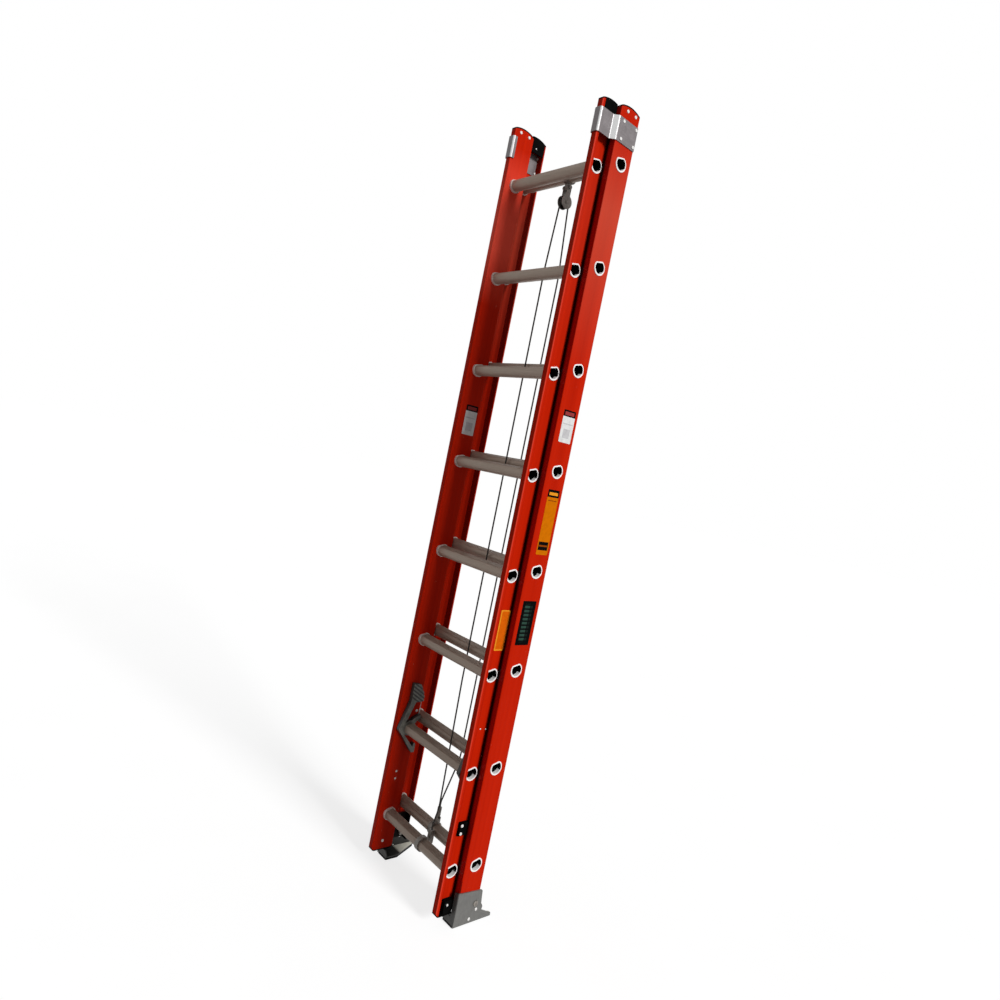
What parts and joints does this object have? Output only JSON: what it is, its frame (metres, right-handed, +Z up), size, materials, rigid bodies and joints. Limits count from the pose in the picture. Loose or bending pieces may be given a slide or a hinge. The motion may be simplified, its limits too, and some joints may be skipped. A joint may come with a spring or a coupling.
{
  "type": "extension ladder",
  "caption": "Two-section fibreglass extension ladder, closed, with D-shaped rungs, a rope and pulley, rung locks and swivel shoes.",
  "frame": {"origin": "middle of the bounding box at floor level, under the soles of the shoes", "axes": "+Z up along the rails, +X to the right as the climber faces the ladder, +Y away from the climber"},
  "size_m": [0.4442, 0.2126, 2.488],
  "materials": {
    "red_fibreglass": "satin pultruded fibreglass",
    "rung_aluminium": "extruded, weathered",
    "collar_aluminium": "plain",
    "black_plastic": "moulded",
    "bracket_aluminium": "folded sheet",
    "rivet_aluminium": "bright",
    "lock_casting": "sand cast",
    "spring_steel": "drawn wire",
    "zinc_steel": "zinc plated",
    "rope": "braided",
    "sheave_plastic": "moulded",
    "shoe_aluminium": "folded plate",
    "pad_rubber": "ribbed"
  },
  "bodies": {
    "base": {"backing_plate_left": "bracket_aluminium", "backing_plate_right": "bracket_aluminium", "base_rail_left": "red_fibreglass", "base_rail_right": "red_fibreglass", "base_rivets": "rivet_aluminium", "base_rung_1": "rung_aluminium", "base_rung_2": "rung_aluminium", "base_rung_3": "rung_aluminium", "base_rung_4": "rung_aluminium", "base_rung_5": "rung_aluminium", "base_rung_6": "rung_aluminium", "base_rung_7": "rung_aluminium", "base_rung_8": "rung_aluminium", "base_rung_collars": "collar_aluminium", "base_top_cap_left": "black_plastic", "base_top_cap_right": "black_plastic", "guide_bracket_left": "bracket_aluminium", "guide_bracket_right": "bracket_aluminium", "pulley_bolt": "zinc_steel", "pulley_cheeks": "zinc_steel", "pulley_clamp": "zinc_steel", "rope_clamp": "zinc_steel", "rope_haul_leg": "rope", "rope_hoist_leg": "rope", "sheave_pin": "zinc_steel", "shoe_bolts": "zinc_steel"},
    "fly": {"fly_bottom_cap_left": "black_plastic", "fly_bottom_cap_right": "black_plastic", "fly_guide_block_left": "black_plastic", "fly_guide_block_right": "black_plastic", "fly_rail_left": "red_fibreglass", "fly_rail_right": "red_fibreglass", "fly_rivets": "rivet_aluminium", "fly_rung_1": "rung_aluminium", "fly_rung_2": "rung_aluminium", "fly_rung_3": "rung_aluminium", "fly_rung_4": "rung_aluminium", "fly_rung_5": "rung_aluminium", "fly_rung_6": "rung_aluminium", "fly_rung_7": "rung_aluminium", "fly_rung_8": "rung_aluminium", "fly_rung_collars": "collar_aluminium", "fly_top_cap_left": "black_plastic", "fly_top_cap_right": "black_plastic", "lock_retainers": "lock_casting", "rope_anchor": "zinc_steel"},
    "pulley_wheel": {"sheave": "sheave_plastic"},
    "left_lock": {"lock_spring_left": "spring_steel", "rung_lock_left": "lock_casting"},
    "right_lock": {"lock_spring_right": "spring_steel", "rung_lock_right": "lock_casting"},
    "left_shoe": {"shoe_left": "shoe_aluminium", "shoe_pad_left": "pad_rubber", "shoe_rivets_left": "rivet_aluminium"},
    "right_shoe": {"shoe_pad_right": "pad_rubber", "shoe_right": "shoe_aluminium", "shoe_rivets_right": "rivet_aluminium"}
  },
  "joints": [
    {"name": "fly_slide", "type": "slide", "parent": "base", "child": "fly", "axis": [0, 0, 1], "range_m": [0, 1.524], "deforming": ["rope_hoist_leg"]},
    {"name": "sheave_spin", "type": "hinge", "parent": "base", "child": "pulley_wheel", "pos_m": [0.008, 0.00325, 2.2441], "axis": [1, 0, 0], "continuous": true},
    {"name": "left_lock_turn", "type": "hinge", "parent": "fly", "child": "left_lock", "pos_m": [-0.165, -0.06075, 0.4708], "axis": [1, 0, 0], "range_deg": [0, 40], "stiffness_Nm_per_rad": 0.2, "springref_deg": -20.05},
    {"name": "right_lock_turn", "type": "hinge", "parent": "fly", "child": "right_lock", "pos_m": [0.165, -0.06075, 0.4708], "axis": [1, 0, 0], "range_deg": [0, 40], "stiffness_Nm_per_rad": 0.2, "springref_deg": -20.05},
    {"name": "left_shoe_turn", "type": "hinge", "parent": "base", "child": "left_shoe", "pos_m": [-0.2163, 0.03025, 0.062], "axis": [1, 0, 0], "range_deg": [0, 25]},
    {"name": "right_shoe_turn", "type": "hinge", "parent": "base", "child": "right_shoe", "pos_m": [0.2163, 0.03025, 0.062], "axis": [1, 0, 0], "range_deg": [0, 25]}
  ],
  "couplings": [
    {"joint": "sheave_spin", "follows": "fly_slide", "rad_per_m": -57.143}
  ]
}
